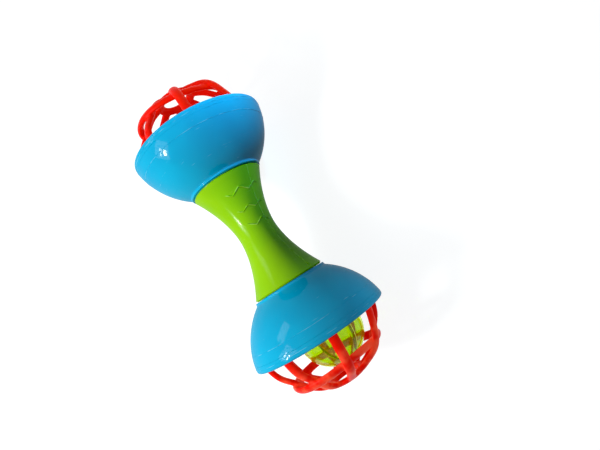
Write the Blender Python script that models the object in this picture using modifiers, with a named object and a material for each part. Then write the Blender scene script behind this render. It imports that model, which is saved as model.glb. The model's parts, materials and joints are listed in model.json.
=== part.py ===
"""Dumbbell rattle: a waisted two-shell handle, a bowl at each end, and in each bowl a clear
rattle ball kept in by a soft ribbed cage under a clamping rim ring.

The rattle lies along X with its middle over the origin, and rests on its two rims at Z = 0.
Metres throughout. A station is a distance along the rattle's axis from its middle.
"""

from math import acos, atan2, cos, degrees, pi, radians, sin, sqrt

import bmesh
import bpy
from mathutils import Matrix, Vector

# Turned pieces: an even number of flats, one of them facing straight down
SIDES = 32
BALL_SIDES = 24

# Fits: the clearance between pieces that seat on each other, and between the handle shells
CLEARANCE = 0.00025
PARTING_GAP = 0.0001

# Handle: two shells moulded as one hourglass, split along its length
HANDLE_LENGTH = 0.0542
HANDLE_WAIST_RADIUS = 0.0091
HANDLE_END_RADIUS = 0.01755
HANDLE_FLARE = 1.8
HANDLE_WALL = 0.002
HANDLE_PARTING_ANGLE = -64.0
HANDLE_END_RIB = 0.0018
PEG_STATION = 0.009
PEG_RADIUS = 0.0012
PEG_LENGTH = 0.002
BOSS_RADIUS = 0.0026

# Bowl: a flared cup with a hollow neck, whose collar the handle shells trap
BOWL_LENGTH = 0.0259
BOWL_WALL = 0.0022
BOWL_FLOOR = 0.002
BOWL_LIP_STEP = 0.00035
BOWL_LIP_LENGTH = 0.0011
BOWL_FULLNESS = 1.7
NECK_WALL = 0.002
NECK_CATCH = 0.0009
COLLAR_THICKNESS = 0.0015

# Rim ring: the round-lipped band that closes the bowl and clamps the cage
RIM_RADIUS = 0.0325
RIM_WALL = 0.0026
RING_HEIGHT = 0.0033
RING_LIP_ROUND = 0.0011
RING_FLAT = 0.001
SKIRT_WALL = 0.0005

# Cage: flattened rubber ribs on a sphere, joined by a woven ring and a hub ring
RIB_COUNT = 8
RIB_STEPS = 8
RIB_WIDTH = 0.0043
RIB_THICKNESS = 0.0026
CAGE_INSET = 0.0054
MIDDLE_RING_ANGLE = 47.0
HUB_RING_ANGLE = 16.0
WEAVE = 0.0011
WEAVE_SPREAD = 22.0
RIGHT_CAGE_ROLL = -5.0
LEFT_CAGE_ROLL = 94.0
FLANGE_THICKNESS = 0.0011
FLANGE_WIDTH = 0.0046
LEDGE_DEPTH = 0.0057

# Ball and its beads: two clear cups with a lapped seam. The right ball lies on its cage, the left one
# deep in its bowl. The lean is from the axis, and the round angle from straight down.
BALL_RADIUS = 0.0156
BALL_WALL = 0.0012
BALL_LEAN = 38.0
BALL_ROUND_ANGLE = 17.0
BALL_SEAM_ANGLE = 35.0
BALL_LAP = 0.001
BEAD_RADIUS = 0.0015
BEAD_PITCH = 0.0036
BEAD_FIRST = 0.0012
BEAD_COUNT = 3

# What follows from the sizes above
HALF_HANDLE = HANDLE_LENGTH / 2
RIM_STATION = HALF_HANDLE + BOWL_LENGTH
AXIS_HEIGHT = RIM_RADIUS * cos(pi / SIDES)
RING_BORE = RIM_RADIUS - RIM_WALL
SEAM_STATION = RIM_STATION - RING_HEIGHT
LEDGE_STATION = RIM_STATION - LEDGE_DEPTH
FLANGE_STATION = LEDGE_STATION + CLEARANCE
FLANGE_TOP = FLANGE_STATION + FLANGE_THICKNESS
SKIRT_STATION = FLANGE_TOP + CLEARANCE
FLANGE_RADIUS = RING_BORE + SKIRT_WALL
CAGE_RADIUS = RING_BORE - CLEARANCE - RIB_THICKNESS / 2
CAGE_STATION = RIM_STATION - CAGE_INSET
BOWL_LIP_RADIUS = HANDLE_END_RADIUS + BOWL_LIP_STEP
BOWL_BASE = HALF_HANDLE + CLEARANCE
BOWL_LIP_TOP = BOWL_BASE + BOWL_LIP_LENGTH
BOWL_REACH = (RIM_STATION - BOWL_LIP_TOP) / (1 - (BOWL_LIP_RADIUS / RIM_RADIUS) ** 2) ** (1 / BOWL_FULLNESS)
FLOOR_STATION = BOWL_BASE + BOWL_FLOOR
COLLAR_TOP = HALF_HANDLE - HANDLE_END_RIB - CLEARANCE
COLLAR_BASE = COLLAR_TOP - COLLAR_THICKNESS

PARTS = "dumbbell_rattle"
CUTTERS = "cutters"


def srgb(red, green, blue):
    """Linear colour from 0 to 255 screen values."""
    parts = (c / 255 for c in (red, green, blue))
    return tuple(((c + 0.055) / 1.055) ** 2.4 if c > 0.04 else c / 12.92 for c in parts)


def finish(name, colour, roughness, transmission=0.0):
    """A Principled material in one plain colour."""
    material = bpy.data.materials.new(name)
    material.use_nodes = True
    shader = material.node_tree.nodes["Principled BSDF"]
    shader.inputs["Base Color"].default_value = (*srgb(*colour), 1.0)
    shader.inputs["Roughness"].default_value = roughness
    shader.inputs["Metallic"].default_value = 0.0
    shader.inputs["Transmission Weight"].default_value = transmission
    return material


def link(obj, collection=PARTS):
    bpy.data.collections[collection].objects.link(obj)
    if collection == CUTTERS:
        obj.hide_render = True
        obj.display_type = "WIRE"
    return obj


def mesh_object(name, mesh, collection=PARTS):
    return link(bpy.data.objects.new(name, mesh), collection)


def frame_empty(name, matrix):
    empty = bpy.data.objects.new(name, None)
    empty.matrix_world = matrix
    return link(empty)


def seat(obj, parent, material=None, location=(0, 0, 0), rotation=(0, 0, 0)):
    """Hangs an object on its frame, with its place given in that frame."""
    obj.parent = parent
    obj.location = location
    obj.rotation_euler = rotation
    if material:
        obj.data.materials.append(material)
    return obj


def turned(name, profile, sides, closed=False, collection=PARTS):
    """A profile of (radius, station) points turned about Z, running down its outer side.

    A flat of the turned shape faces +X, because the profile stands half a flat round from it.
    """
    half_flat = pi / sides
    points = [(r * cos(half_flat), r * sin(half_flat), z) for r, z in profile]
    count = len(points)
    edges = [(i, (i + 1) % count) for i in range(count if closed else count - 1)]
    mesh = bpy.data.meshes.new(name)
    mesh.from_pydata(points, edges, [])
    obj = mesh_object(name, mesh, collection)
    screw = obj.modifiers.new("turn", "SCREW")
    screw.steps = screw.render_steps = sides
    screw.use_merge_vertices = True
    screw.merge_threshold = 1e-6
    screw.use_smooth_shade = True
    return obj


def arc(centre, radius, start, end, steps):
    """Points of a circular arc in a profile, from one angle to another in degrees."""
    angles = [radians(start + (end - start) * i / steps) for i in range(steps + 1)]
    return [(centre[0] + radius * cos(a), centre[1] + radius * sin(a)) for a in angles]


def spread(first, last, steps):
    return [first + (last - first) * i / steps for i in range(steps + 1)]


def combine(obj, operation, other):
    """A live Boolean with one object, or with every object of a collection."""
    boolean = obj.modifiers.new(operation.lower(), "BOOLEAN")
    boolean.operation = operation
    boolean.solver = "EXACT"
    if isinstance(other, bpy.types.Collection):
        boolean.operand_type = "COLLECTION"
        boolean.collection = other
    else:
        boolean.object = other


def cutter_group(name):
    """A collection of helpers that a Boolean joins or cuts together."""
    group = bpy.data.collections.new(name)
    bpy.data.collections[CUTTERS].children.link(group)
    return group


def oval(name, width, height, sides=8):
    """A flat oval outline to sweep along a curve."""
    outline = bpy.data.curves.new(name, "CURVE")
    spline = outline.splines.new("POLY")
    spline.points.add(sides - 1)
    for i, point in enumerate(spline.points):
        turn = 2 * pi * i / sides
        point.co = (width / 2 * cos(turn), height / 2 * sin(turn), 0.0, 1.0)
    spline.use_cyclic_u = True
    return link(bpy.data.objects.new(name, outline), CUTTERS)


def tube(name, points, section, group, cyclic=False, tilt=0.0):
    """A section swept along points, made a closed mesh and put in a helper group.

    The section's width lies level, across the frame's Z, until the tilt turns it about the path.
    """
    curve = bpy.data.curves.new(name, "CURVE")
    curve.dimensions = "3D"
    curve.twist_mode = "Z_UP"
    curve.bevel_mode = "OBJECT"
    curve.bevel_object = section
    curve.use_fill_caps = True
    spline = curve.splines.new("POLY")
    spline.points.add(len(points) - 1)
    for point, place in zip(spline.points, points):
        point.co = (*place, 1.0)
        point.tilt = tilt
    spline.use_cyclic_u = cyclic
    guide = bpy.data.objects.new(name + "_path", curve)
    bpy.context.scene.collection.objects.link(guide)
    bpy.context.view_layer.update()
    evaluated = guide.evaluated_get(bpy.context.evaluated_depsgraph_get())
    mesh = bpy.data.meshes.new_from_object(evaluated)
    bpy.data.objects.remove(guide)
    shell = bmesh.new()
    shell.from_mesh(mesh)
    bmesh.ops.remove_doubles(shell, verts=shell.verts, dist=1e-6)
    bmesh.ops.recalc_face_normals(shell, faces=shell.faces)
    shell.to_mesh(mesh)
    shell.free()
    obj = bpy.data.objects.new(name, mesh)
    obj.hide_render = True
    obj.display_type = "WIRE"
    group.objects.link(obj)
    return obj


def cylinder(name, radius, low, high, matrix, group):
    """A short round bar along the matrix's Z axis, between two heights."""
    shape = bmesh.new()
    middle = matrix @ Matrix.Translation((0, 0, (low + high) / 2))
    bmesh.ops.create_cone(
        shape, cap_ends=True, segments=12, radius1=radius, radius2=radius, depth=high - low, matrix=middle
    )
    mesh = bpy.data.meshes.new(name)
    shape.to_mesh(mesh)
    shape.free()
    obj = bpy.data.objects.new(name, mesh)
    obj.hide_render = True
    obj.display_type = "WIRE"
    group.objects.link(obj)
    return obj


def handle_radius(station):
    """The hourglass outside: the waist, swelling by a power of the station."""
    swell = (abs(station) / HALF_HANDLE) ** HANDLE_FLARE
    return HANDLE_WAIST_RADIUS + (HANDLE_END_RADIUS - HANDLE_WAIST_RADIUS) * swell


def bowl_radius(station):
    """The bowl outside: a superellipse quarter from the base lip out to the rim."""
    depth = max(RIM_STATION - station, 0.0)
    return RIM_RADIUS * sqrt(1 - (depth / BOWL_REACH) ** BOWL_FULLNESS)


def collar_radius():
    """The neck's collar fills the narrowest handle bore that it stands in, less the clearance."""
    return handle_radius(COLLAR_BASE) - HANDLE_WALL - CLEARANCE


def handle_profile():
    """The handle's wall as one closed ring section, with an inward rib at each end."""
    rib_bore = collar_radius() - NECK_CATCH + CLEARANCE
    rib_face = HALF_HANDLE - HANDLE_END_RIB
    outside = [(handle_radius(s), s) for s in spread(HALF_HANDLE, -HALF_HANDLE, 12)]
    inside = [(handle_radius(s) - HANDLE_WALL, s) for s in spread(-rib_face, rib_face, 6)]
    lower_rib = [(rib_bore, -HALF_HANDLE), (rib_bore, -rib_face)]
    upper_rib = [(rib_bore, rib_face), (rib_bore, HALF_HANDLE)]
    return outside + lower_rib + inside + upper_rib


def make_handle(frame, material):
    """Two shells cut from one turned hourglass; pegs on one enter sockets on the other."""
    turn_to_parting = Matrix.Rotation(radians(HANDLE_PARTING_ANGLE), 4, "Z")
    room = 2 * max(HANDLE_END_RADIUS, HANDLE_LENGTH)
    for name, side in (("handle_top_half", 1), ("handle_bottom_half", -1)):
        shell = turned(name, handle_profile(), SIDES, closed=True)
        seat(shell, frame, material)

        # The parting plane holds the axis; the other shell's half of space is cut away
        box = bmesh.new()
        bmesh.ops.create_cube(box, size=room)
        away = side * (PARTING_GAP / 2 - room / 2)
        bmesh.ops.transform(box, verts=box.verts, matrix=turn_to_parting @ Matrix.Translation((0, away, 0)))
        mesh = bpy.data.meshes.new(name + "_other_side")
        box.to_mesh(mesh)
        box.free()
        other_side = seat(mesh_object(name + "_other_side", mesh, CUTTERS), frame)
        combine(shell, "DIFFERENCE", other_side)

        # Bosses stand on the wall and meet at the parting plane
        bosses = cutter_group(name + "_bosses")
        sockets = cutter_group(name + "_sockets")
        for number, station in enumerate((PEG_STATION, -PEG_STATION), 1):
            upright = Matrix.Rotation(-side * pi / 2, 4, "X")
            place = turn_to_parting @ Matrix.Translation((0, 0, station)) @ upright
            wall_middle = handle_radius(station) - HANDLE_WALL / 2
            label = f"{name}_{number}"
            boss = cylinder(label + "_boss", BOSS_RADIUS, PARTING_GAP / 2, wall_middle, place, bosses)
            seat(boss, frame)
            if side > 0:
                peg = cylinder(label + "_peg", PEG_RADIUS, -PEG_LENGTH, PEG_LENGTH, place, bosses)
                seat(peg, frame)
            else:
                depth = PEG_LENGTH + CLEARANCE
                bore = PEG_RADIUS + CLEARANCE
                seat(cylinder(label + "_socket", bore, -depth, depth, place, sockets), frame)
        combine(shell, "UNION", bosses)
        if side < 0:
            combine(shell, "DIFFERENCE", sockets)


def make_bowl(name, frame, material):
    """One turned cup: floor, wall with a ledge near the rim, base lip, hollow neck and collar."""
    lap_bore = FLANGE_RADIUS + CLEARANCE
    neck = collar_radius() - NECK_CATCH
    neck_bore = neck - NECK_WALL
    inner = [(bowl_radius(s) - BOWL_WALL, s) for s in spread(FLOOR_STATION, LEDGE_STATION, 4)]
    ledge = [(lap_bore, LEDGE_STATION), (lap_bore, SEAM_STATION)]
    outer = [(bowl_radius(s), s) for s in spread(SEAM_STATION, BOWL_LIP_TOP, 7)]
    base = [(BOWL_LIP_RADIUS, BOWL_BASE), (neck, BOWL_BASE), (neck, COLLAR_TOP)]
    collar = [(collar_radius(), COLLAR_TOP), (collar_radius(), COLLAR_BASE), (neck_bore, COLLAR_BASE)]
    under_floor = [(neck_bore, BOWL_BASE), (0.0, BOWL_BASE)]
    profile = [(0.0, FLOOR_STATION)] + inner + ledge + outer + base + collar + under_floor
    return seat(turned(name, profile, SIDES), frame, material)


def make_rim_ring(name, frame, material):
    """A band flush with the bowl, with a rounded lip and a skirt that presses on the cage's flange."""
    lip_station = RIM_STATION - RING_LIP_ROUND
    outer_lip = arc((RIM_RADIUS - RING_LIP_ROUND, lip_station), RING_LIP_ROUND, 90, 0, 3)
    inner_lip = arc((RING_BORE + RING_LIP_ROUND, lip_station), RING_LIP_ROUND, 180, 90, 3)
    band_foot = SEAM_STATION + CLEARANCE
    flat = [(RIM_RADIUS, lip_station - RING_FLAT)]
    foot = [(bowl_radius(band_foot), band_foot), (FLANGE_RADIUS, band_foot)]
    skirt = [(FLANGE_RADIUS, SKIRT_STATION), (RING_BORE, SKIRT_STATION)]
    profile = outer_lip + flat + foot + skirt + inner_lip
    return seat(turned(name, profile, SIDES, closed=True), frame, material)


def on_sphere(polar, round_angle, lift):
    """A point of the cage's sphere: polar angle from the outer pole, and angle round the axis."""
    radius = CAGE_RADIUS + lift
    ring = radius * sin(polar)
    return (ring * cos(round_angle), ring * sin(round_angle), CAGE_STATION + radius * cos(polar))


def rib_lift(polar, round_angle):
    """Ribs bow out or in where they cross the middle ring, by quarter of the turn."""
    away = degrees(polar) - MIDDLE_RING_ANGLE
    if abs(away) >= WEAVE_SPREAD:
        return 0.0
    over = -1.0 if sin(2 * round_angle) > 0 else 1.0
    return over * WEAVE * cos(radians(90 * away / WEAVE_SPREAD)) ** 2


def rib_path(number, steps):
    """A rib's centre line, from the hub ring to the middle of the flange."""
    angle = 2 * pi * (number + 0.5) / RIB_COUNT
    foot = acos(((FLANGE_STATION + FLANGE_TOP) / 2 - CAGE_STATION) / CAGE_RADIUS)
    return [on_sphere(p, angle, rib_lift(p, angle)) for p in spread(radians(HUB_RING_ANGLE), foot, steps)]


def ring_path(polar, weave, steps):
    """A ring's centre line. With a weave it passes over the ribs that bow in, and under the others."""
    turn = [2 * pi * i / steps for i in range(steps)]
    return [on_sphere(radians(polar), a, weave * sin(2 * a)) for a in turn]


def make_cage(name, frame, material, roll):
    """Flange, ribs and rings joined into one moulding."""
    inner = FLANGE_RADIUS - FLANGE_WIDTH
    flange = [
        (FLANGE_RADIUS, FLANGE_TOP),
        (FLANGE_RADIUS, FLANGE_STATION),
        (inner, FLANGE_STATION),
        (inner, FLANGE_TOP),
    ]
    cage = turned(name, flange, SIDES, closed=True)
    seat(cage, frame, material, rotation=(0, 0, roll))
    members = cutter_group(name + "_members")
    section = oval(name + "_section", RIB_WIDTH, RIB_THICKNESS)

    for number in range(RIB_COUNT):
        rib = tube(f"{name}_rib_{number}", rib_path(number, RIB_STEPS), section, members)
        seat(rib, frame, rotation=(0, 0, roll))
    rings = (("middle_ring", MIDDLE_RING_ANGLE, WEAVE, SIDES), ("hub_ring", HUB_RING_ANGLE, 0.0, SIDES // 2))
    for part, polar, weave, steps in rings:
        path = ring_path(polar, weave, steps)
        ring = tube(f"{name}_{part}", path, section, members, cyclic=True, tilt=radians(polar))
        seat(ring, frame, rotation=(0, 0, roll))
    combine(cage, "UNION", members)
    return cage


def ball_place(roll):
    """Where a ball rests on its cage: its distance from the axis and its station.

    Its centre leaves the cage's centre in the lean's direction, until the ball is a clearance off the
    first member in its way.
    """
    lean = radians(BALL_LEAN)
    round_angle = pi + radians(BALL_ROUND_ANGLE) - roll
    heading = Vector((sin(lean) * cos(round_angle), sin(lean) * sin(round_angle), cos(lean)))
    reach = BALL_RADIUS + RIB_THICKNESS / 2 + CLEARANCE
    finer = 5
    lines = [rib_path(number, finer * RIB_STEPS) for number in range(RIB_COUNT)]
    lines.append(ring_path(MIDDLE_RING_ANGLE, WEAVE, finer * SIDES))
    lines.append(ring_path(HUB_RING_ANGLE, 0.0, finer * SIDES))
    stops = []
    for point in (Vector(p) - Vector((0, 0, CAGE_STATION)) for line in lines for p in line):
        ahead = heading.dot(point)
        aside = (point - ahead * heading).length
        if ahead > 0 and aside < reach:
            stops.append(ahead - sqrt(reach**2 - aside**2))
    return min(stops) * sin(lean), CAGE_STATION + min(stops) * cos(lean)


def ball_innermost(off_axis):
    """The station of a ball slid in along the axis, a clearance short of the bowl's floor or wall."""
    reach = BALL_RADIUS + CLEARANCE
    stops = [FLOOR_STATION + reach]
    for station in spread(FLOOR_STATION, LEDGE_STATION, 40):
        aside = bowl_radius(station) - BOWL_WALL - off_axis
        if aside < reach:
            stops.append(station + sqrt(reach**2 - aside**2))
    return max(stops)


def make_ball(end, frame, clear):
    """Two clear cups: a tongue on the lower one laps inside a rebate in the upper one."""
    inside = BALL_RADIUS - BALL_WALL
    tongue = inside + (BALL_WALL - CLEARANCE) / 2
    rebate = tongue + CLEARANCE
    steps = 5
    seam = CLEARANCE / 2
    lap_top = BALL_LAP + CLEARANCE

    def round_wall(radius, low, high):
        """Points of a ball's wall from one height to another."""
        start = degrees(atan2(low, sqrt(radius**2 - low**2)))
        stop = degrees(atan2(high, sqrt(max(radius**2 - high**2, 0.0))))
        return arc((0.0, 0.0), radius, start, stop, steps)

    upper = round_wall(BALL_RADIUS, BALL_RADIUS, seam)
    upper += [(rebate, seam), (rebate, lap_top)]
    upper += round_wall(inside, lap_top, inside)
    lower = round_wall(inside, -inside, BALL_LAP)
    lower += [(tongue, BALL_LAP), (tongue, -seam)]
    lower += round_wall(BALL_RADIUS, -seam, -BALL_RADIUS)

    tilt = (0, pi / 2, radians(BALL_SEAM_ANGLE))
    for half, profile in (("upper", upper), ("lower", lower)):
        on_axis = [(0.0, z) if i in (0, len(profile) - 1) else (r, z) for i, (r, z) in enumerate(profile)]
        seat(turned(f"ball_{half}_half_{end}", on_axis, BALL_SIDES), frame, clear, rotation=tilt)


def make_beads(end, frame, material):
    """Pellets in a row on the ball's floor, each on its own track round the inside."""
    track = BALL_RADIUS - BALL_WALL - BEAD_RADIUS - CLEARANCE
    for number in range(BEAD_COUNT):
        name = f"bead_{number + 1}_{end}"
        along = -(BEAD_FIRST + number * BEAD_PITCH)
        shape = bmesh.new()
        bmesh.ops.create_icosphere(shape, subdivisions=2, radius=BEAD_RADIUS)
        mesh = bpy.data.meshes.new(name)
        shape.to_mesh(mesh)
        shape.free()
        mesh.shade_smooth()
        seat(mesh_object(name, mesh), frame, material, location=(-sqrt(track**2 - along**2), 0, along))


def main():
    for obj in list(bpy.data.objects):
        bpy.data.objects.remove(obj)
    for name in (PARTS, CUTTERS):
        bpy.context.scene.collection.children.link(bpy.data.collections.new(name))
    bpy.data.collections[CUTTERS].hide_render = True

    green = finish("green_plastic", (128, 200, 0), 0.22)
    blue = finish("blue_plastic", (0, 168, 222), 0.18)
    red = finish("red_rubber", (226, 24, 8), 0.45)
    clear = finish("clear_tinted", (176, 200, 20), 0.05, transmission=1.0)
    dark = finish("dark_bead", (14, 12, 12), 0.3)

    # Each end has a frame with Z out along the axis and X up, so both ends are built alike
    raised = Matrix.Translation((0, 0, AXIS_HEIGHT))
    frames = {}
    for end, outward in (("right", 1), ("left", -1)):
        axes = Matrix(((0, 0, outward), (0, -outward, 0), (1, 0, 0))).to_4x4()
        frames[end] = frame_empty(f"{end}_end", raised @ axes)

    make_handle(frames["right"], green)
    for end, degrees_rolled in (("right", RIGHT_CAGE_ROLL), ("left", LEFT_CAGE_ROLL)):
        frame = frames[end]
        roll = radians(degrees_rolled)
        make_bowl(f"bowl_{end}", frame, blue)
        make_rim_ring(f"rim_ring_{end}", frame, blue)
        make_cage(f"cage_{end}", frame, red, roll)
        centre = frame_empty(f"ball_centre_{end}", Matrix())
        off_axis, station = ball_place(roll)
        if end == "left":
            station = ball_innermost(off_axis)
        below = pi + radians(BALL_ROUND_ANGLE)
        seat(centre, frame, location=(off_axis * cos(below), off_axis * sin(below), station))
        make_ball(end, centre, clear)
        make_beads(end, centre, dark)


main()
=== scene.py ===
"""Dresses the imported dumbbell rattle: smooth mouldings, a woven rubber cage and clear balls.

The rattle lies along X on its rims. A station is a distance from its middle along that axis, and an
angle round the axis is measured from straight up towards -Y. Metres and radians.
"""

import json

import bmesh
import bpy
import numpy as np
from mathutils import Matrix, Vector


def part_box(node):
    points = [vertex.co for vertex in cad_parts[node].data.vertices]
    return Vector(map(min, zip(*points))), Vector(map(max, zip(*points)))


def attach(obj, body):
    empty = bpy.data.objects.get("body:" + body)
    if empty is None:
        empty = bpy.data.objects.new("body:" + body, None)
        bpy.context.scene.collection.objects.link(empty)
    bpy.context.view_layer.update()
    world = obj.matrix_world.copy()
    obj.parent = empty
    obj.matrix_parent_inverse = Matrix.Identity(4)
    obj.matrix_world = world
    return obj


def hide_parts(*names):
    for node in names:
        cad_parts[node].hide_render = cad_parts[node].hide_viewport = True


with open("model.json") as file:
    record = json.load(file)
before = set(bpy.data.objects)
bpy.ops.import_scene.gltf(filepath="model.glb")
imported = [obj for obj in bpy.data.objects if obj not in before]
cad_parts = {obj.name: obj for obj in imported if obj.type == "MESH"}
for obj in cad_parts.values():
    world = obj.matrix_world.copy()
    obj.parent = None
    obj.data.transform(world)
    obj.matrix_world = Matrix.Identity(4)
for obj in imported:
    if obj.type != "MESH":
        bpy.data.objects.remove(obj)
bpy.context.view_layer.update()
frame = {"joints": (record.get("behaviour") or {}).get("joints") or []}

# The handle is an hourglass in two glossy green plastic shells, pressed together on pegs. Their
# parting line runs along it as eased edges with a fine flash between them, and towards one end three
# zigzag grip ridges run round from the top and over that line.
axis_height = sum(corner.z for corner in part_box("rim_ring_right")) / 2
half_handle = 0.0271
waist_radius = 0.0091
handle_end_radius = 0.01755
waist_power = 1.8
handle_wall = 0.002
end_wall = 0.0018
shadow_gap = 0.0005
shadow_depth = 0.0009
end_round = 0.0002
parting_angle = np.radians(-64.0)
half_parting = 0.00005
eased_depth = 0.00012
eased_width = 0.0002

# What joins a bowl to the handle: its collar lies behind the handle's end wall, with room to fit
fit = 0.00025
collar_thickness = 0.0015
neck_catch = 0.0009
end_face = half_handle - end_wall
collar_face = end_face - fit
collar_base = collar_face - collar_thickness


def handle_radius(station):
    """An hourglass: the waist, and on to the end's radius by |station / half length| to a power."""
    swell = (np.abs(station) / half_handle) ** waist_power
    return waist_radius + (handle_end_radius - waist_radius) * swell


def around(radius, station, angle):
    """Points on the rattle's axis frame: (x, y, z) = (station, -r sin(angle), axis + r cos(angle))."""
    radius, station, angle = np.broadcast_arrays(radius, station, angle)
    return np.stack([station, -radius * np.sin(angle), axis_height + radius * np.cos(angle)], axis=-1)


def rows(radius, station):
    """Rows of an outline, each (radius, station, fillet), with no fillets yet."""
    return np.stack([radius, station, np.zeros_like(station)], axis=1)


def softened(corners, steps=6):
    """Rounds the corners C of a closed outline of (radius, station, fillet) rows:
    (1-t)^2 A + 2t(1-t) C + t^2 B, with A and B a fillet's length along the two edges."""
    corners = np.asarray(corners, float)
    place, fillet = corners[:, :2], corners[:, 2:]
    before, after = np.roll(place, 1, 0) - place, np.roll(place, -1, 0) - place
    start = place + fillet * before / np.linalg.norm(before, axis=1, keepdims=True)
    stop = place + fillet * after / np.linalg.norm(after, axis=1, keepdims=True)
    t = np.linspace(0, 1, steps)[None, :, None]
    curve = (1 - t) ** 2 * start[:, None] + 2 * t * (1 - t) * place[:, None] + t**2 * stop[:, None]
    curve = curve.reshape(-1, 2)
    return curve[np.linalg.norm(curve - np.roll(curve, 1, 0), axis=1) > 1e-7]


def grid_piece(name, points, skin, body, nodes=(), wrap=(False, False)):
    """Quads between neighbours of a grid of points. Doubled points at poles are welded, open flat ends
    are closed, and the piece takes its skin, its body and the nodes it stands for."""
    index = np.arange(points.shape[0] * points.shape[1]).reshape(points.shape[:2])
    if wrap[0]:
        index = np.vstack([index, index[:1]])
    if wrap[1]:
        index = np.hstack([index, index[:, :1]])
    quads = np.stack([index[:-1, :-1], index[1:, :-1], index[1:, 1:], index[:-1, 1:]], axis=-1)
    mesh = bpy.data.meshes.new(name)
    mesh.from_pydata(points.reshape(-1, 3).tolist(), [], quads.reshape(-1, 4).tolist())
    shape = bmesh.new()
    shape.from_mesh(mesh)
    bmesh.ops.remove_doubles(shape, verts=shape.verts, dist=1e-7)
    bmesh.ops.holes_fill(shape, edges=[e for e in shape.edges if e.is_boundary], sides=0)
    bmesh.ops.recalc_face_normals(shape, faces=shape.faces)
    shape.to_mesh(mesh)
    shape.free()
    mesh.shade_smooth()
    mesh.materials.append(skin)
    piece = bpy.data.objects.new(name, mesh)
    bpy.context.scene.collection.objects.link(piece)
    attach(piece, body)
    if nodes:
        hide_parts(*nodes)
    return piece


def bead_along(name, path, up, width, height, skin, body, slot, closed=False):
    """A fine raised line: the oval P + w cos v S + h sin v U carried along a path, with U up from the
    surface and S across the run."""
    run = np.roll(path, -1, 0) - np.roll(path, 1, 0) if closed else np.gradient(path, axis=0)
    run /= np.linalg.norm(run, axis=1, keepdims=True)
    across = width * np.cross(run, up)
    v = np.linspace(0, 2 * np.pi, 12, endpoint=False)[None, :, None]
    bead = path[:, None] + np.cos(v) * across[:, None] + np.sin(v) * (height * up)[:, None]
    return grid_piece(name, bead, skin, body, wrap=(closed, True))


class Wire:
    """One shader socket that takes ordinary arithmetic, so that a formula reads as it would on paper."""

    def __init__(self, tree, socket):
        self.tree, self.socket = tree, socket

    def node(self, kind, inputs, output=0, **settings):
        """Adds a node with these settings, feeds its inputs, and gives back one of its outputs."""
        new = self.tree.nodes.new(kind)
        for name, value in settings.items():
            setattr(new, name, value)
        for key, value in inputs.items():
            if isinstance(value, Wire):
                self.tree.links.new(value.socket, new.inputs[key])
            else:
                new.inputs[key].default_value = value
        return Wire(self.tree, new.outputs[output])

    def maths(self, operation, left, right):
        """A Math node on two values, either of which may be a plain number."""
        return self.node("ShaderNodeMath", {0: left, 1: right}, operation=operation)

    def __add__(self, other):
        return self.maths("ADD", self, other)

    def __sub__(self, other):
        return self.maths("SUBTRACT", self, other)

    def __rsub__(self, other):
        return self.maths("SUBTRACT", other, self)

    def __mul__(self, other):
        return self.maths("MULTIPLY", self, other)

    __radd__ = __add__
    __rmul__ = __mul__

    def noise(self, size, stretch=(1.0, 1.0, 1.0), detail=2.0):
        """A noise field with features of about this size, drawn out along an axis by stretch."""
        scale = tuple(1.0 / s for s in stretch)
        place = self.node("ShaderNodeVectorMath", {0: self, 1: scale}, operation="MULTIPLY")
        return self.node("ShaderNodeTexNoise", {"Vector": place, "Scale": 1.0 / size, "Detail": detail})

    def between(self, low, high):
        """A smooth step from 0 below low to 1 above high."""
        return self.node(
            "ShaderNodeMapRange", {0: self, 1: low, 2: high}, interpolation_type="SMOOTHSTEP", clamp=True
        )

    def blend(self, first, second):
        """The first colour where this is 0, the second where it is 1."""
        return self.node("ShaderNodeMix", {0: self, 6: first, 7: second}, output=2, data_type="RGBA")

    def grain(self, size, strength):
        """A surface normal that noise of this size roughens, 0.05 mm deep."""
        height = self.noise(size, detail=1.0)
        return self.node("ShaderNodeBump", {"Strength": strength, "Distance": 0.00005, "Height": height})


def linear(red, green, blue):
    """A screen colour of 0 to 255 as linear light."""
    c = np.array([red, green, blue]) / 255
    return (*np.where(c > 0.04, ((c + 0.055) / 1.055) ** 2.4, c / 12.92).tolist(), 1.0)


def material(name, **sockets):
    """A Principled material with plain socket values; gives it, its shader and its object coordinates."""
    made = bpy.data.materials.new(name)
    made.use_nodes = True
    tree = made.node_tree
    shader = tree.nodes["Principled BSDF"]
    for key, value in sockets.items():
        shader.inputs[key.replace("_", " ")].default_value = value
    here = Wire(tree, tree.nodes.new("ShaderNodeTexCoord").outputs["Object"])
    return made, shader, here


def feed(shader, socket, wire):
    """Links a wire to one of the shader's sockets."""
    wire.tree.links.new(wire.socket, shader.inputs[socket])


def moulded_plastic(name, blur, colour, shade, wear_and_glint_colour, wear_and_glint_range=(0.70, 0.80), streak=(0.0005, 0.007, 0.007)):
    """Plastic under a thin clear gloss that blurs what it mirrors. Its colour drifts a little, pale
    streaks of these lengths along X, Y and Z run over it, and the skin has a slight peel. The streaks are
    wear, and on the denser skins of the raised lines they are partly a painted glint."""
    skin, shader, here = material(name, Specular_IOR_Level=0.0, Coat_Weight=0.23, Coat_Roughness=blur)
    drift = here.noise(0.018).between(0.3, 0.7)
    # Pale streaks: wear, and where they are dense on raised lines, partly a painted glint
    wear_and_glints = here.noise(1.0, stretch=streak).between(*wear_and_glint_range)
    tint = drift.blend(linear(*shade), linear(*colour))
    feed(shader, "Base Color", (0.45 * wear_and_glints).blend(tint, linear(*wear_and_glint_colour)))
    feed(shader, "Roughness", 0.3 + 0.10 * wear_and_glints + 0.05 * here.noise(0.006))
    feed(shader, "Normal", here.grain(0.0012, 0.05))
    return skin
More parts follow.
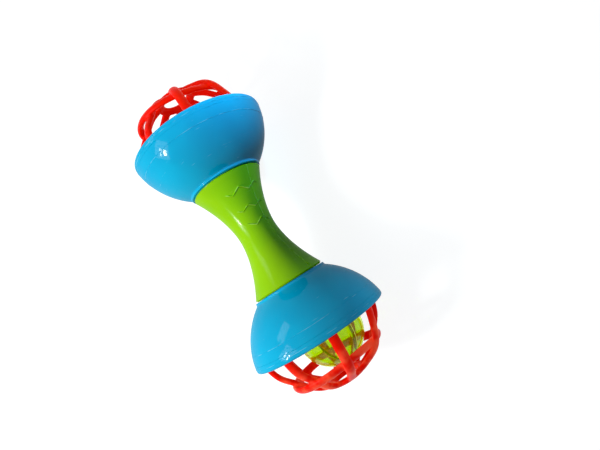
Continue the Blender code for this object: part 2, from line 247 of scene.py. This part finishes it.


# How far the gloss blurs, then the colour, its shade and the pale colour of its wear, which on raised
# lines is partly a painted glint
green_look = 0.14, (160, 216, 0), (150, 210, 0), (200, 236, 120)
green = moulded_plastic("green_plastic", *green_look)
# The raised lines' skin: denser pale streaks, partly wear and partly a painted glint along them
worn_and_glint_green = moulded_plastic("worn_and_glint_green", *green_look, wear_and_glint_range=(0.4, 0.6), streak=(0.004, 0.002, 0.002))
stub_radius = handle_end_radius - shadow_depth
end_bore = handle_radius(collar_base) - handle_wall - neck_catch
outer = np.linspace(half_handle - shadow_gap, shadow_gap - half_handle, 150)
outer_rows = rows(handle_radius(outer), outer)
outer_rows[[0, -1], 2] = end_round
inner = np.linspace(-end_face, end_face, 60)
inner_rows = rows(handle_radius(inner) - handle_wall, inner)
left_end = np.array([
    (stub_radius, shadow_gap - half_handle, 0),
    (stub_radius, -half_handle, 0),
    (end_bore, -half_handle, 0),
    (end_bore, -end_face, 0),
])
right_end = left_end[::-1] * (1, -1, 1)
outline = softened(np.vstack([outer_rows, left_end, inner_rows, right_end]))
for name, turn in (("handle_top_half", 0.0), ("handle_bottom_half", np.pi)):
    # Half a turn in angle, with the rows crowded towards the parting line, where the edge is eased
    t = np.linspace(0, 1, 140)
    edge = half_parting / outline[:, :1]
    angle = edge + (np.pi - 2 * edge) * (1 - np.cos(np.pi * t)) / 2
    to_edge = outline[:, :1] * np.minimum(angle, np.pi - angle)
    eased = outline[:, :1] - eased_depth * np.exp(-((to_edge / eased_width) ** 2))
    shell = around(eased, outline[:, 1:], parting_angle + turn + angle)
    grid_piece("moulded_" + name, shell, green, "shell", [name], wrap=(True, False))

# Each ridge is a low half-round bead along a zigzag with blunt turns, fading out at both ends. Its
# row gives the middle station, the swing along X, the waves in a full turn and a crest's angle.
axis_point = np.array([0, 0, axis_height])
ridge_half_width = 0.0003
ridge_height = 0.00048
ridge_sunk = 0.0001
blunt = 0.12
fade_share = 0.08
ridges = ((-0.0185, 0.0012, 10, -18.0), (-0.0104, 0.00085, 10, -18.0), (-0.0030, 0.0011, 8, -32.0))
for number, (centre, swing, waves, crest) in enumerate(ridges, 1):
    degrees = np.linspace(-4.0, -82.0, 300)
    phase = (degrees - crest) * waves / 360
    zigzag = 4 * np.abs((phase + 0.5) % 1 - 0.5)
    station = centre + swing * (1 - np.clip(zigzag, blunt, 2 - blunt))
    along = np.linspace(0, 1, 300)[:, None]
    fade = np.clip(np.minimum(along, 1 - along) / fade_share, 0.02, 1) ** 0.5
    angle = np.radians(degrees)
    path = around(handle_radius(station) - ridge_sunk, station, angle)
    up = around(1.0, 0.0, angle) - axis_point
    size = ridge_half_width * fade, ridge_height * fade
    bead_along(f"grip_ridge_{number}", path, up, *size, worn_and_glint_green, "shell", "green_plastic")

# The mould leaves a fine flash along each parting line. Its pale skin is partly wear and partly a painted
# glint
flash_size = 0.00018, 0.0003
for name, turn in (("front", 0.0), ("back", np.pi)):
    station = np.linspace(shadow_gap - half_handle, half_handle - shadow_gap, 200)
    path = around(handle_radius(station) - ridge_sunk, station, parting_angle + turn)
    up = around(np.ones(200), 0.0, parting_angle + turn) - axis_point
    bead_along(f"parting_flash_{name}", path, up, *flash_size, worn_and_glint_green, "shell", "green_plastic")

# The bowls are flared cups in glossy blue plastic, with a thin lip at the base and a necked collar that
# the handle's shells trap. A band closes each at its rim: its round lip stands over a fine seam, and
# its skirt clamps the cage's flange on a ledge.
rim_radius = 0.0325
rim_station = 0.053
rim_wall = 0.0026
rim_round = 0.0012
band_depth = 0.0021
seam_depth = 0.0033
half_seam = 0.00002
seam_round = 0.00005
ledge_depth = 0.0057
flange_catch = 0.0005
flange_thickness = 0.0011
bowl_wall = 0.0022
flare_power = 1.7
floor_thickness = 0.002
floor_round = 0.001
neck_wall = 0.002
lip_stand = 0.00035
lip_height = 0.0011
lip_slope = 0.0007
lip_rounds = 0.0005, 0.0003
seam_station = rim_station - seam_depth
ledge_station = rim_station - ledge_depth
skirt_station = ledge_station + fit + flange_thickness + fit
ring_bore = rim_radius - rim_wall
flange_radius = ring_bore + flange_catch
lip_radius = handle_end_radius + lip_stand
base_station = half_handle + fit
lip_top = base_station + lip_height
floor_station = base_station + floor_thickness
collar_radius = handle_radius(collar_base) - handle_wall - fit
neck_radius = collar_radius - neck_catch
neck_bore = neck_radius - neck_wall
# The cup's wall would close on the axis this far below the rim
reach = (rim_station - lip_top) / (1 - (lip_radius / rim_radius) ** 2) ** (1 / flare_power)


def bowl_radius(station):
    """A flared cup: the rim's radius times the root of 1 - (depth / reach) to a power."""
    return rim_radius * np.sqrt(1 - ((rim_station - station) / reach) ** flare_power)


def turned(name, outline, end, skin, sides=224):
    """An outline of (radius, station) turned about the rattle's axis, towards one end."""
    angle = np.linspace(0, 2 * np.pi, sides, endpoint=False)
    points = around(outline[:, :1], end * outline[:, 1:], angle[None])
    return grid_piece("moulded_" + name, points, skin, "shell", [name], wrap=(True, True))


blue_look = 0.05, (0, 182, 222), (0, 172, 214), (150, 228, 245)
blue = moulded_plastic("blue_plastic", *blue_look)
# The hairlines' skin: denser pale streaks, partly wear and partly a painted glint
worn_and_glint_blue = moulded_plastic("worn_and_glint_blue", *blue_look, wear_and_glint_range=(0.45, 0.6), streak=(0.001, 0.006, 0.006))
cup = np.linspace(floor_station, ledge_station, 40)
cup_rows = rows(bowl_radius(cup) - bowl_wall, cup)
cup_rows[0, 2] = floor_round
wall = np.linspace(seam_station - half_seam, lip_top + lip_slope, 70)
wall_rows = rows(bowl_radius(wall), wall)
wall_rows[0, 2] = seam_round
bowl_outline = softened(
    np.vstack([
        [(0.0, floor_station, 0)],
        cup_rows,
        [(flange_radius + fit, ledge_station, 0), (flange_radius + fit, seam_station - half_seam, 0)],
        wall_rows,
        [(lip_radius, lip_top, lip_rounds[0]), (lip_radius, base_station, lip_rounds[1])],
        [(neck_radius, base_station, 0), (neck_radius, collar_face, 0)],
        [(collar_radius, collar_face, 0), (collar_radius, collar_base, 0)],
        [(neck_bore, collar_base, 0), (neck_bore, base_station, 0), (0.0, base_station, 0)],
    ])
)
band = np.linspace(rim_station - band_depth, seam_station + half_seam, 16)
band_rows = rows(bowl_radius(band), band)
band_rows[-1, 2] = seam_round
ring_outline = softened(
    np.vstack([
        [(ring_bore, rim_station, rim_round), (rim_radius, rim_station, rim_round)],
        band_rows,
        [(flange_radius, seam_station + half_seam, 0), (flange_radius, skirt_station, 0)],
        [(ring_bore, skirt_station, 0)],
    ]),
    steps=10,
)
line_size = 0.00014, 0.00013
line_sunk = 0.00005
for end, side in (("right", 1), ("left", -1)):
    turned(f"bowl_{end}", bowl_outline, side, blue)
    turned(f"rim_ring_{end}", ring_outline, side, blue)
    # Two hairlines that the mould leaves, one under the lip and one on the wall. Their pale skin is
    # partly wear and partly a painted glint
    angle = np.linspace(0, 2 * np.pi, 240, endpoint=False)
    for name, depth in (("lip", 0.0019), ("wall", 0.0075)):
        station = rim_station - depth
        path = around(bowl_radius(station) - line_sunk, side * station, angle)
        up = around(1.0, 0.0, angle) - axis_point
        name = f"{name}_line_{end}"
        bead_along(name, path, up, *line_size, worn_and_glint_blue, "shell", "blue_plastic", closed=True)

# The cage is one soft red rubber moulding: eight flattened ribs rise from a flange under the rim ring
# to a hub ring, and a middle ring weaves over one pair of ribs and under the next.
rib_count = 8
rib_width = 0.0043
rib_thickness = 0.0026
cage_radius = ring_bore - fit - rib_thickness / 2
cage_depth = 0.0054
cage_station = rim_station - cage_depth
middle_polar = np.radians(47.0)
hub_polar = np.radians(16.0)
weave = 0.0011
weave_spread = np.radians(22.0)
flange_width = 0.0046
flange_rounds = 0.0002, 0.0004
voxel = 0.00035


def red_rubber():
    """Satin rubber with a painted red glow, brighter on its upper side, that stands in for light soaking
    in, a painted pale highlight on top of the right dome, and an uneven sheen.
    """
    # Painted light: the emission is a glow that stands in for light soaking into the rubber
    skin, shader, here = material(
        "red_rubber", Specular_IOR_Level=0.06, Subsurface_Weight=0.5, Subsurface_Radius=(1.0, 0.25, 0.15),
        Subsurface_Scale=0.002, Emission_Strength=0.5,
    )
    drift = here.noise(0.008).between(0.3, 0.75)
    station = here.node("ShaderNodeSeparateXYZ", {0: here}, output="X")
    height = here.node("ShaderNodeSeparateXYZ", {0: here}, output="Z") - axis_height
    # Painted light: a mask that is 1 on the upper side, where the glow is painted brighter
    painted_top_light = height.between(-0.017, 0.008)
    # Painted highlight: pale patches on top of the right dome
    painted_highlight = 0.85 * painted_top_light * station.between(0.054, 0.066) * here.noise(0.007).between(0.4, 0.62)
    tint = drift.blend(linear(212, 12, 0), linear(220, 22, 0))
    feed(shader, "Base Color", painted_highlight.blend(tint, linear(240, 90, 60)))
    # Painted glow, brighter on the upper side
    painted_glow = painted_top_light.blend(linear(196, 2, 0), linear(224, 14, 0))
    feed(shader, "Emission Color", painted_highlight.blend(painted_glow, linear(255, 74, 38)))
    feed(shader, "Roughness", 0.32 + 0.14 * here.noise(0.003))
    feed(shader, "Normal", here.grain(0.0006, 0.08))
    return skin


def on_cage(polar, angle, lift):
    """Points of the cage's sphere: polar from the outer pole, angle round the axis, lift outwards."""
    radius = cage_radius + lift
    return around(radius * np.sin(polar), cage_station + radius * np.cos(polar), angle)


def bar(path, size, closed, sides=20):
    """Oval section swept along a path on the cage's sphere: P + size (t cos v N + w sin v B) / 2, with
    N from the sphere's centre, for the ribs' thickness t and width w."""
    centre = np.array([cage_station, 0, axis_height])
    run = np.roll(path, -1, 0) - np.roll(path, 1, 0) if closed else np.gradient(path, axis=0)
    run /= np.linalg.norm(run, axis=1, keepdims=True)
    normal = path - centre
    normal -= run * np.sum(normal * run, axis=1, keepdims=True)
    normal /= np.linalg.norm(normal, axis=1, keepdims=True)
    across = np.cross(run, normal)
    turn = np.linspace(0, 2 * np.pi, sides, endpoint=False)[None, :, None]
    girth = np.broadcast_to(size, len(path))[:, None, None] / 2
    thick = rib_thickness * np.cos(turn) * normal[:, None]
    return path[:, None] + girth * (thick + rib_width * np.sin(turn) * across[:, None])


red = red_rubber()
flange_face = ledge_station + fit
foot_polar = np.arccos((flange_face + flange_thickness / 2 - cage_station) / cage_radius)
flange = softened([
    (flange_radius, flange_face + flange_thickness, flange_rounds[0]),
    (flange_radius, flange_face, flange_rounds[0]),
    (flange_radius - flange_width, flange_face, flange_rounds[1]),
    (flange_radius - flange_width, flange_face + flange_thickness, flange_rounds[1]),
])
for end, side, roll in (("right", 1, np.radians(-5.0)), ("left", -1, np.radians(94.0))):
    members = []
    polar = np.linspace(hub_polar, foot_polar, 70)
    rounded_ends = np.sqrt(1 - np.linspace(-1, 1, 70) ** 40)
    for number in range(rib_count):
        angle = 2 * np.pi * (number + 0.5) / rib_count
        away = np.clip((polar - middle_polar) / weave_spread, -1, 1)
        lift = -np.sign(np.sin(2 * angle)) * weave * np.cos(np.pi / 2 * away) ** 2
        members.append((bar(on_cage(polar, angle + roll, lift), rounded_ends, False), False))
    angle = np.linspace(0, 2 * np.pi, 200, endpoint=False)
    middle_ring = on_cage(middle_polar, angle + roll, weave * np.sin(2 * angle))
    hub_ring = on_cage(hub_polar, angle[::2], 0.0)
    members.append((bar(middle_ring, 1.0, True), True))
    members.append((bar(hub_ring, 1.0, True), True))
    members.append((around(flange[:, :1], flange[:, 1:], angle[None]), True))
    parts = []
    for number, (points, closed) in enumerate(members):
        name = f"cage_member_{number}_{end}"
        turned_round = points * np.array([side, side, 1])
        parts.append(grid_piece(name, turned_round, red, "shell", wrap=(closed, True)))
    cage = parts[0]
    with bpy.context.temp_override(active_object=cage, object=cage, selected_editable_objects=parts):
        bpy.ops.object.join()
    cage.name = f"moulded_cage_{end}"
    # The members are one moulding: a fine remesh joins them, and smoothing fills the corners
    joined = cage.modifiers.new("one_moulding", "REMESH")
    joined.mode = "VOXEL"
    joined.voxel_size = voxel
    joined.use_smooth_shade = True
    fillets = cage.modifiers.new("fillets", "SMOOTH")
    fillets.factor = 0.5
    fillets.iterations = 6
    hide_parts(f"cage_{end}")

# The rattle ball is two clear tinted plastic cups, lapped and welded at a slanting seam. It is thin, so
# the cage and the beads show through it.
ball_radius = 0.0156
ball_wall = 0.0012
lap = 0.001
weld_gap = 0.00006
weld_round = 0.0001
weld_size = 0.0001, 0.00012
seam_tilt = np.radians(35.0)
inside = ball_radius - ball_wall
tongue = inside + (ball_wall - fit) / 2


def clear_plastic(name, clearness, painted_glow, tint, flow_tint):
    """Clear yellow-green plastic with faint flow marks, and a painted glow of this strength in its own
    colour that stands in for light piped through the plastic.
    """
    skin, shader, here = material(
        name, IOR=1.25, Transmission_Weight=clearness, Coat_Weight=0.12, Emission_Strength=painted_glow
    )
    flow = here.noise(0.006, stretch=(1.0, 1.0, 3.0)).between(0.3, 0.7)
    colour = flow.blend(linear(*tint), linear(*flow_tint))
    feed(shader, "Base Color", colour)
    # Painted glow in the plastic's own colour
    feed(shader, "Emission Color", colour)
    feed(shader, "Roughness", 0.02 + 0.04 * here.noise(0.004))
    return skin


def dome(radius, low, high, count):
    """A ball's wall between two heights, as rows of (radius cos t, radius sin t)."""
    turn = np.linspace(np.arcsin(low / radius), np.arcsin(high / radius), count)
    return rows(radius * np.cos(turn), radius * np.sin(turn))


clear = clear_plastic("clear_tinted", 0.9, 0.01, (205, 236, 0), (212, 240, 4))
# The weld seam's skin is paler and carries a stronger painted glow
welded = clear_plastic("welded_seam", 0.1, 0.35, (236, 248, 90), (242, 250, 140))
upper_skin = dome(ball_radius, ball_radius, weld_gap, 50)
upper_skin[-1, 2] = weld_round
upper_step = [(tongue + fit, weld_gap, 0), (tongue + fit, lap + fit, 0)]
upper = softened(np.vstack([upper_skin, upper_step, dome(inside, lap + fit, inside, 40)]))
lower_skin = dome(ball_radius, -weld_gap, -ball_radius, 50)
lower_skin[0, 2] = weld_round
lower_step = [(tongue, lap, 0), (tongue, -weld_gap, 0)]
lower = softened(np.vstack([dome(inside, -inside, lap, 40), lower_step, lower_skin]))
along_x = np.array([1.0, 0, 0])
turn = np.linspace(0, 2 * np.pi, 128, endpoint=False)[:, None]
for end, side in (("right", 1), ("left", -1)):
    pole = np.array([0, -side * np.sin(seam_tilt), np.cos(seam_tilt)])
    ring = np.cos(turn) * along_x + np.sin(turn) * np.cross(pole, along_x)
    spin = next(j for j in frame["joints"] if j["name"] == f"pellet_1_roll_{end}")
    centre = np.array(spin["pos_m"])
    body = f"ball_{end}"
    for half, outline in (("upper", upper), ("lower", lower)):
        points = centre + outline[:, :1, None] * ring + outline[:, 1:, None] * pole
        node = f"ball_{half}_half_{end}"
        grid_piece("clear_" + node, points, clear, body, [node], wrap=(True, True))
    path = centre + (ball_radius - line_sunk) * ring
    bead_along(f"weld_line_{end}", path, ring, *weld_size, welded, body, "clear_tinted", closed=True)

# The beads are small dark plastic pellets, loose in the ball, with the faint raised line that their
# mould leaves.
bead_radius = 0.00147
mould_line = 0.00003
line_spread = 0.06


def dark_bead():
    """Near-black plastic, mottled a little in colour and sheen."""
    skin, shader, here = material("dark_bead", Specular_IOR_Level=0.25)
    feed(shader, "Base Color", here.noise(0.0008).blend(linear(10, 9, 9), linear(22, 20, 20)))
    feed(shader, "Roughness", 0.22 + 0.15 * here.noise(0.0006))
    return skin


dark = dark_bead()
turn = np.linspace(-np.pi / 2, np.pi / 2, 33)[:, None]
angle = np.linspace(0, 2 * np.pi, 48, endpoint=False)[None]
radius = bead_radius + mould_line * np.exp(-((turn / line_spread) ** 2))
from_axis = radius * np.cos(turn)
across, deep = from_axis * np.cos(angle), from_axis * np.sin(angle)
pellet = np.stack(np.broadcast_arrays(across, deep, radius * np.sin(turn)), axis=-1)
for end in ("right", "left"):
    for number in (1, 2, 3):
        node = f"bead_{number}_{end}"
        body = f"pellet_{number}_{end}"
        points = pellet + np.array(sum(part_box(node), Vector()) / 2)
        grid_piece("pellet_" + node, points, dark, body, [node], wrap=(False, True))

# The rattle lies on a plain pale table. To the camera, in gloss and through clear plastic the table is
# white with the rattle's shadow on it. To the light's own rays it is a grey that throws little back.
middle = Vector((0, 0, axis_height))
table_drop = 0.0001


def grey(level):
    """A grey of this much linear light."""
    return level, level, level, 1.0


def viewed(tree):
    """1 for a ray from the camera, off gloss or through clear plastic, and 0 for other rays."""
    ray = tree.nodes.new("ShaderNodeLightPath").outputs
    off_gloss = Wire(tree, ray["Is Glossy Ray"])
    through = Wire(tree, ray["Is Transmission Ray"])
    return Wire(tree, ray["Is Camera Ray"]) + off_gloss + through


bpy.ops.mesh.primitive_plane_add(size=6.0, location=(0, 0, axis_height - rim_radius - table_drop))
table = bpy.context.object
table.name = "table"
paper, shader, here = material("white_table", Emission_Strength=0.9)
seen = viewed(paper.node_tree)
white = here.noise(0.02).blend(grey(0.24), grey(0.26))
feed(shader, "Base Color", seen.blend(grey(0.22), white))
feed(shader, "Roughness", 0.6 + 0.1 * here.noise(0.01))
feed(shader, "Emission Color", seen.blend(grey(0.0), grey(1.0)))
table.data.materials.append(paper)

# A soft window over the near side lights it: a small bright pane, a dimmer one beside it, and a wide
# glow. A pale wall on the left shows in the gloss.
window_distance = 0.30
window_place = middle + window_distance * Vector((0.107, -0.606, 0.788))
window_lean = np.radians(28.0)
wall_place = Vector((-0.153, -0.155, 0.233))
wall_size = 0.14, 0.07
wall_energy = 0.14


def area_light(name, place, turn, width, height, energy):
    """A rectangle of light that shines along its own -Z."""
    light = bpy.data.lights.new(name, "AREA")
    light.shape = "RECTANGLE"
    light.size = width
    light.size_y = height
    light.energy = energy
    lamp = bpy.data.objects.new(name, light)
    lamp.location = place
    lamp.rotation_euler = turn.to_euler()
    bpy.context.scene.collection.objects.link(lamp)
    return lamp


window_turn = (middle - window_place).to_track_quat("-Z", "Y").to_matrix()
window_turn = window_turn @ Matrix.Rotation(window_lean, 3, "Z")
# Each pane's shift in the window, its width, its height and its energy
panes = (
    ("window", (0.0, 0.0, 0.0), 0.024, 0.05, 0.41),
    ("window_side", (-0.036, 0.0, 0.0), 0.016, 0.06, 0.11),
    ("window_glow", (-0.025, 0.02, 0.0), 0.11, 0.14, 0.22),
)
for name, shift, width, height, energy in panes:
    area_light(name, window_place + window_turn @ Vector(shift), window_turn, width, height, energy)
wall_turn = (middle - wall_place).to_track_quat("-Z", "Y")
area_light("pale_wall", wall_place, wall_turn, *wall_size, wall_energy)

# Two small fills, each kept to one bowl, lift the sides that face away from the window. A row gives the
# place from the rattle's middle, the station aimed at, the colour, the spread in degrees and the energy.
fill_size = 0.03, 0.03
aim_side = 0.01
fills = (
    ("left_fill", (-0.17, 0.16, 0.13), -0.05, (0.2, 0.7, 1.0), 19.0, 0.013),
    ("right_fill", (0.06, 0.22, 0.10), 0.048, (0.5, 0.9, 1.0), 13.0, 0.0013),
)
for name, place, station, colour, spread, energy in fills:
    place = middle + Vector(place)
    aim = Vector((station, aim_side, axis_height)) - place
    fill = area_light(name, place, aim.to_track_quat("-Z", "Y"), *fill_size, energy)
    fill.data.color = colour
    fill.data.spread = np.radians(spread)
    fill.visible_glossy = False

# The room is white to look at, also in gloss and through the clear balls. Its light is a faint blue.
room_light = 0.028, 0.10, 0.14, 1.0
room = bpy.data.worlds.new("room")
room.use_nodes = True
background = room.node_tree.nodes["Background"]
feed(background, "Color", viewed(room.node_tree).blend(room_light, grey(1.0)))
bpy.context.scene.world = room

# The camera stands close over the rattle, a little towards +Y, as in the photograph. Its place, turn
# and focal length in pixels were fitted to the outline there.
focal_pixels = 430.08
picture_width = 600
lens = bpy.data.cameras.new("camera")
lens.sensor_width = 36.0
lens.lens = focal_pixels / picture_width * lens.sensor_width
lens.clip_start = 0.005
camera = bpy.data.objects.new("camera", lens)
right = Vector((0.537179, 0.792817, -0.287888))
down = Vector((0.836139, -0.545431, 0.058113))
ahead = Vector((-0.110950, -0.271931, -0.955899))
camera.matrix_world = Matrix((right, -down, -ahead)).transposed().to_4x4()
camera.location = middle + Vector((0.029541, 0.070926, 0.183180))
bpy.context.scene.collection.objects.link(camera)
bpy.context.scene.camera = camera
bpy.context.scene.view_settings.view_transform = "Standard"

bpy.context.view_layer.update()
